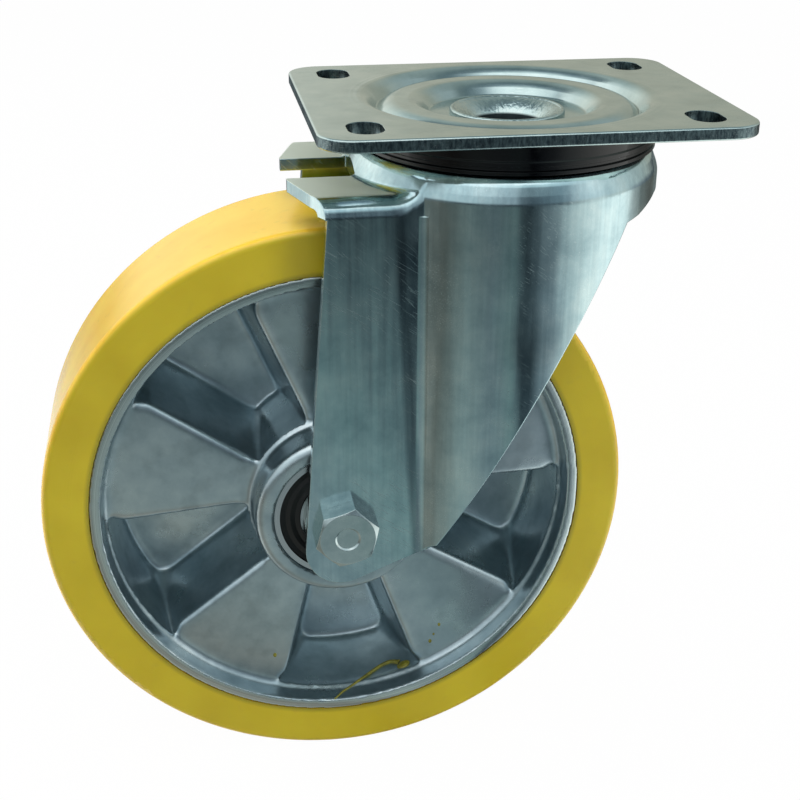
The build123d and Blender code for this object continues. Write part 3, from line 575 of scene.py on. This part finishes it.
def wheel_casting():
    """Copies the CAD casting onto a fine grid and rounds the corners there: those of the web
    well, as they were cast, and those of the turned rim and hub only a little."""
    source = nodes["wheel_centre"]
    piece = bpy.data.objects.new("wheel_casting", source.data.copy())
    bpy.context.collection.objects.link(piece)
    bpy.ops.object.select_all(action="DESELECT")
    piece.select_set(True)
    bpy.context.view_layer.objects.active = piece
    bpy.ops.object.mode_set(mode="EDIT")
    bpy.ops.mesh.select_all(action="SELECT")
    bpy.ops.mesh.remove_doubles(threshold=2e-6)
    bpy.ops.object.mode_set(mode="OBJECT")
    finished(piece, "REMESH", mode="VOXEL", voxel_size=0.8 * MM)
    web = piece.vertex_groups.new(name="web")
    reach = {v.index: hypot(v.co.x - AXLE.x, v.co.z - AXLE.z) for v in piece.data.vertices}
    web.add([i for i, r in reach.items() if WEB_INNER_RADIUS < r < WEB_OUTER_RADIUS], 1.0,
            "REPLACE")
    finished(piece, "SMOOTH", factor=0.5, iterations=3)
    finished(piece, "SMOOTH", factor=0.5, iterations=24, vertex_group="web")
    finished(piece, "DECIMATE", ratio=CASTING_TRIANGLES / (2 * len(piece.data.polygons)))
    bpy.ops.object.shade_smooth_by_angle(angle=radians(38))
    piece.data.materials.clear()
    piece.data.materials.append(casting_finish)
    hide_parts("wheel_centre")
    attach(piece, "wheel")


wheel_casting()

# Drips of polyurethane on the wheel's web, where the tread was cast

# Line of the long drip on the rim's inner wall, in millimetres from the axle: X, Y and Z, and
# its half width
DRIP_LINE = [(-2.9, -24.6, -80.5, 0.30), (0.1, -21.3, -80.1, 0.40), (3.4, -19.2, -79.8, 0.45),
             (7.0, -17.6, -78.5, 0.55), (10.9, -14.3, -78.4, 0.60), (14.7, -11.9, -77.6, 0.65),
             (18.3, -10.6, -76.7, 0.75), (20.6, -10.8, -76.1, 0.80), (23.0, -12.6, -75.6, 1.10)]
DRIP_END = (24.3, -14.7, -75.3)
# Flat specks on the web's face: X and Z in millimetres from the axle, and their size
SPECKS = [(-23.9, -63.7, 0.75), (33.8, -63.8, 0.7), (37.1, -56.8, 0.6), (35.1, -60.8, 0.45)]
WEB_FACE_Y = -17.5


def settle(piece, body):
    """Puts a finished piece's place into its mesh, smooths it and lets it ride a body."""
    bpy.ops.object.select_all(action="DESELECT")
    piece.select_set(True)
    bpy.context.view_layer.objects.active = piece
    bpy.ops.object.transform_apply(location=True, rotation=True, scale=True)
    bpy.ops.object.shade_smooth()
    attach(piece, body)


def joined(pieces, name):
    bpy.ops.object.select_all(action="DESELECT")
    for piece in pieces:
        piece.select_set(True)
    bpy.context.view_layer.objects.active = pieces[0]
    bpy.ops.object.join()
    pieces[0].name = name
    pieces[0].data.name = name
    return pieces[0]


def flat_drop(place, size, facing, thickness):
    """Flattened drop that lies on a face: a sphere pressed along the way the face looks."""
    bpy.ops.object.select_all(action="DESELECT")
    bpy.ops.mesh.primitive_uv_sphere_add(segments=20, ring_count=12, radius=size * MM,
                                         location=AXLE + Vector(place) * MM)
    drop = bpy.context.object
    drop.scale = (1.25, 0.9, thickness)
    drop.rotation_euler = Vector(facing).to_track_quat("Z", "X").to_euler()
    return drop


def long_drip():
    """The drip that ran round the rim: a thin thread that ends in a flat blob."""
    line = bpy.data.curves.new("tread_drip", "CURVE")
    line.dimensions = "3D"
    line.bevel_depth = 1.0 * MM
    line.bevel_resolution = 3
    line.use_fill_caps = True
    thread = line.splines.new("NURBS")
    thread.points.add(len(DRIP_LINE) - 1)
    for point, (x, y, z, half_width) in zip(thread.points, DRIP_LINE):
        point.co = (*(AXLE + Vector((x, y, z)) * MM), 1.0)
        point.radius = half_width
    thread.order_u = 3
    thread.use_endpoint_u = True
    thread.resolution_u = 6
    drip = bpy.data.objects.new("tread_drip", line)
    bpy.context.collection.objects.link(drip)
    bpy.ops.object.select_all(action="DESELECT")
    drip.select_set(True)
    bpy.context.view_layer.objects.active = drip
    bpy.ops.object.convert(target="MESH")
    blob = flat_drop(DRIP_END, 2.1, (-0.3, -0.1, 0.95), 0.4)
    settle(joined([bpy.data.objects["tread_drip"], blob], "tread_drip"), "wheel")


def specks():
    drops = [flat_drop((x, WEB_FACE_Y, z), size, (0, -1, 0), 0.35) for x, z, size in SPECKS]
    settle(joined(drops, "tread_specks"), "wheel")


long_drip()
specks()
drip_finish = dripped_polyurethane()
for name in ("tread_drip", "tread_specks"):
    bpy.data.objects[name].data.materials.append(drip_finish)

# Studio: a pale floor, a pale room and soft lamps

WHITE = tint("#FFFFFF")
STUDIO_RADIUS = 1.5
STUDIO_HEIGHT = 1.75
# Brightness of the studio's cloths, as the polished metal mirrors them
SOFTBOX = 1.6


def seen_as_background(tree):
    """1 for rays that see the room itself: from the camera, in a reflection or through glass."""
    path = add(tree, "LightPath")
    mirrored = add(tree, "Math",
                   {0: path.outputs["Is Camera Ray"], 1: path.outputs["Is Glossy Ray"]},
                   operation="MAXIMUM")
    return add(tree, "Math", {0: mirrored, 1: path.outputs["Is Transmission Ray"]},
               operation="MAXIMUM")


def room(light):
    world = bpy.data.worlds.new("pale_room")
    bpy.context.scene.world = world
    world.use_nodes = True
    tree = world.node_tree
    tree.nodes.clear()
    strength = add(tree, "MapRange",
                   {"Value": seen_as_background(tree), "From Min": 0.0, "From Max": 1.0,
                    "To Min": light, "To Max": 1.0})
    background = add(tree, "Background", {"Color": WHITE, "Strength": strength})
    add(tree, "OutputWorld", {"Surface": background.outputs[0]})


def floor():
    bpy.ops.mesh.primitive_plane_add(size=6.0, location=(0, 0, FLOOR_Z))
    plane = bpy.context.object
    plane.name = "pale_floor"
    material, tree = blank_material("pale_floor_paint")
    matt = add(tree, "BsdfDiffuse", {"Color": tint("#E9E9E7")})
    glow = add(tree, "Emission", {"Color": WHITE})
    share = add(tree, "Math", {0: seen_as_background(tree), 1: 0.985}, operation="MULTIPLY")
    mix = add(tree, "MixShader", {0: share, 1: matt.outputs[0], 2: glow.outputs[0]})
    # Clear from below, so that the underside can be looked at
    below = add(tree, "NewGeometry").outputs["Backfacing"]
    clear = add(tree, "BsdfTransparent")
    paint = add(tree, "MixShader", {0: below, 1: mix.outputs[0], 2: clear.outputs[0]})
    add(tree, "OutputMaterial", {"Surface": paint.outputs[0]})
    plane.data.materials.append(material)


def hide_but_for_mirrors(thing):
    """Leaves a thing of the studio visible to mirror reflections alone."""
    thing.visible_camera = False
    thing.visible_diffuse = False
    thing.visible_transmission = False
    thing.visible_volume_scatter = False
    thing.visible_shadow = False


def round_shade(tree, place, stops, sides=1):
    """Shade by direction. Going round from the way of -X, the stops run past the front, -Y,
    at a quarter, +X at a half and +Y at three quarters. With two sides the stops cover half a
    turn, from -X over the front to +X, and come again round the back."""
    around = add(tree, "TexGradient", {0: place}, gradient_type="RADIAL")
    part = add(tree, "Math", {0: around.outputs["Fac"], 1: 1 / sides}, operation="MODULO")
    return add(tree, "ValToRGB",
               {"Fac": add(tree, "Math", {0: part.outputs[0], 1: float(sides)},
                           operation="MULTIPLY")}, stops)


def glowing_cloth(thing, tree, shade, strength):
    """Finishes a cloth of the studio, which only mirror reflections see."""
    light = add(tree, "Emission", {"Color": shade, "Strength": strength})
    add(tree, "OutputMaterial", {"Surface": light.outputs[0]})
    hide_but_for_mirrors(thing)


def grey_mat():
    """Studio mat round the castor. It gives the plated steel its dark and light upright bands,
    as the dark things round a photographer do, and its dark part pales near the castor."""
    bpy.ops.mesh.primitive_circle_add(vertices=96, radius=STUDIO_RADIUS, fill_type="NGON",
                                      location=(0, 0, FLOOR_Z + 0.0005))
    mat = bpy.context.object
    mat.name = "grey_mat"
    material, tree = blank_material("grey_mat_cloth")
    mat.data.materials.append(material)
    place = add(tree, "TexCoord").outputs["Object"]
    shade = round_shade(tree, place, [
        (0.0, "#C8C8C4"), (0.09, "#747672"), (0.20, "#4C4B46"), (0.30, "#626A68"),
        (0.42, "#545C5E"), (0.485, "#52605F"), (0.512, "#465052"), (0.532, "#12181E"),
        (0.552, "#1E262A"), (0.58, "#444C50"), (0.63, "#646C70"), (0.69, "#A0A8A8"),
        (0.77, "#CCD1CE"), (0.87, "#F4F6F2")], sides=2)
    far = add(tree, "VectorMath", {0: place}, operation="LENGTH").outputs["Value"]
    near = add(tree, "MapRange",
               {"Value": far, "From Min": 0.65, "From Max": 0.2, "To Min": 1.0, "To Max": 2.3})
    paleness = add(tree, "RGBToBW", {0: shade}).outputs[0]
    lift = add(tree, "Mix", {0: paleness, 2: near, 3: 1.0}, data_type="FLOAT")
    glowing_cloth(mat, tree, shade,
                  add(tree, "Math", {0: lift.outputs[0], 1: SOFTBOX}, operation="MULTIPLY"))


def dark_horizon():
    """Studio screen round the castor: dark and bluish low down and in front, warm and pale
    behind, bright on the left. It gives bends and edges their dark and light lines."""
    bpy.ops.mesh.primitive_cylinder_add(vertices=96, radius=STUDIO_RADIUS, depth=STUDIO_HEIGHT,
                                        end_fill_type="NOTHING",
                                        location=(0, 0, FLOOR_Z + STUDIO_HEIGHT / 2))
    screen = bpy.context.object
    screen.name = "dark_horizon"
    material, tree = blank_material("screen_cloth")
    screen.data.materials.append(material)
    place = add(tree, "TexCoord").outputs["Object"]
    height = add(tree, "SeparateXYZ", {0: place}).outputs["Z"]
    low = round_shade(tree, place, [
        (0.0, "#92969A"), (0.2, "#3E464A"), (0.5, "#22282E"), (0.66, "#4A545A"),
        (0.82, "#D4D6D2"), (1.0, "#B0B4B0")], sides=2)
    middle = round_shade(tree, place, [
        (0.0, "#ACB4B6"), (0.12, "#BAC6CA"), (0.2, "#A4AEB2"), (0.242, "#8E989E"),
        (0.27, "#38424A"), (0.34, "#74828A"), (0.40, "#D2DADC"), (0.5, "#B6BCBA"),
        (0.62, "#8E9086"), (0.72, "#9A9A8E"), (0.80, "#D0D4CE"), (0.9, "#F0F2EE"),
        (0.98, "#C4CACA")])
    high = round_shade(tree, place, [
        (0.0, "#E8F4F8"), (0.2, "#F8FDFF"), (0.28, "#B4C6CC"), (0.36, "#D0DEE2"),
        (0.5, "#98A4A8"), (0.72, "#84908E"), (0.8, "#A4B0B0"), (0.9, "#F4F8F8"),
        (1.0, "#E8F4F8")])
    shade = add(tree, "Mix",
                {0: add(tree, "MapRange", {"Value": height, "From Min": -0.80, "From Max": -0.62}),
                 6: low, 7: middle}, data_type="RGBA")
    shade = add(tree, "Mix",
                {0: add(tree, "MapRange", {"Value": height, "From Min": -0.06, "From Max": 0.46}),
                 6: shade, 7: high}, data_type="RGBA")
    glowing_cloth(screen, tree, shade, SOFTBOX)


def pale_ceiling():
    """Studio ceiling: grey, with a broad soft light over the front and the left."""
    bpy.ops.mesh.primitive_circle_add(vertices=96, radius=STUDIO_RADIUS, fill_type="NGON",
                                      location=(0, 0, FLOOR_Z + STUDIO_HEIGHT))
    ceiling = bpy.context.object
    ceiling.name = "pale_ceiling"
    material, tree = blank_material("ceiling_cloth")
    ceiling.data.materials.append(material)
    place = add(tree, "TexCoord").outputs["Object"]
    along = add(tree, "VectorMath", {0: place, 1: (-0.57, -0.82, 0)},
                operation="DOT_PRODUCT").outputs["Value"]
    shade = add(tree, "ValToRGB",
                {"Fac": add(tree, "MapRange",
                            {"Value": along, "From Min": -1.0, "From Max": 1.0})},
                [(0.0, "#828E8E"), (0.33, "#5A6A70"), (0.50, "#66767E"), (0.58, "#8C9CA4"),
                 (0.72, "#F2FCFF"), (1.0, "#FFFFFF")])
    glowing_cloth(ceiling, tree, shade, SOFTBOX)


def lamp(name, place, aim, size, power):
    """Soft round lamp. It isn't mirrored itself: the bright cloths are."""
    bpy.ops.object.light_add(type="AREA", location=place)
    light = bpy.context.object
    light.visible_glossy = False
    light.name = name
    light.data.shape = "DISK"
    light.data.size = size
    light.data.energy = power
    light.rotation_euler = (Vector(aim) - Vector(place)).to_track_quat("-Z", "Y").to_euler()


room(0.45)
floor()
grey_mat()
dark_horizon()
pale_ceiling()
lamp("overhead_lamp", (-0.25, -0.20, 1.05), (-0.04, 0.0, -0.1), 1.1, 8.5)
lamp("right_lamp", (0.7, -0.9, 0.4), (0.0, 0.0, -0.1), 0.5, 4.5)
lamp("left_lamp", (-1.0, 0.9, 0.5), (0.0, 0.0, -0.1), 0.5, 5.0)
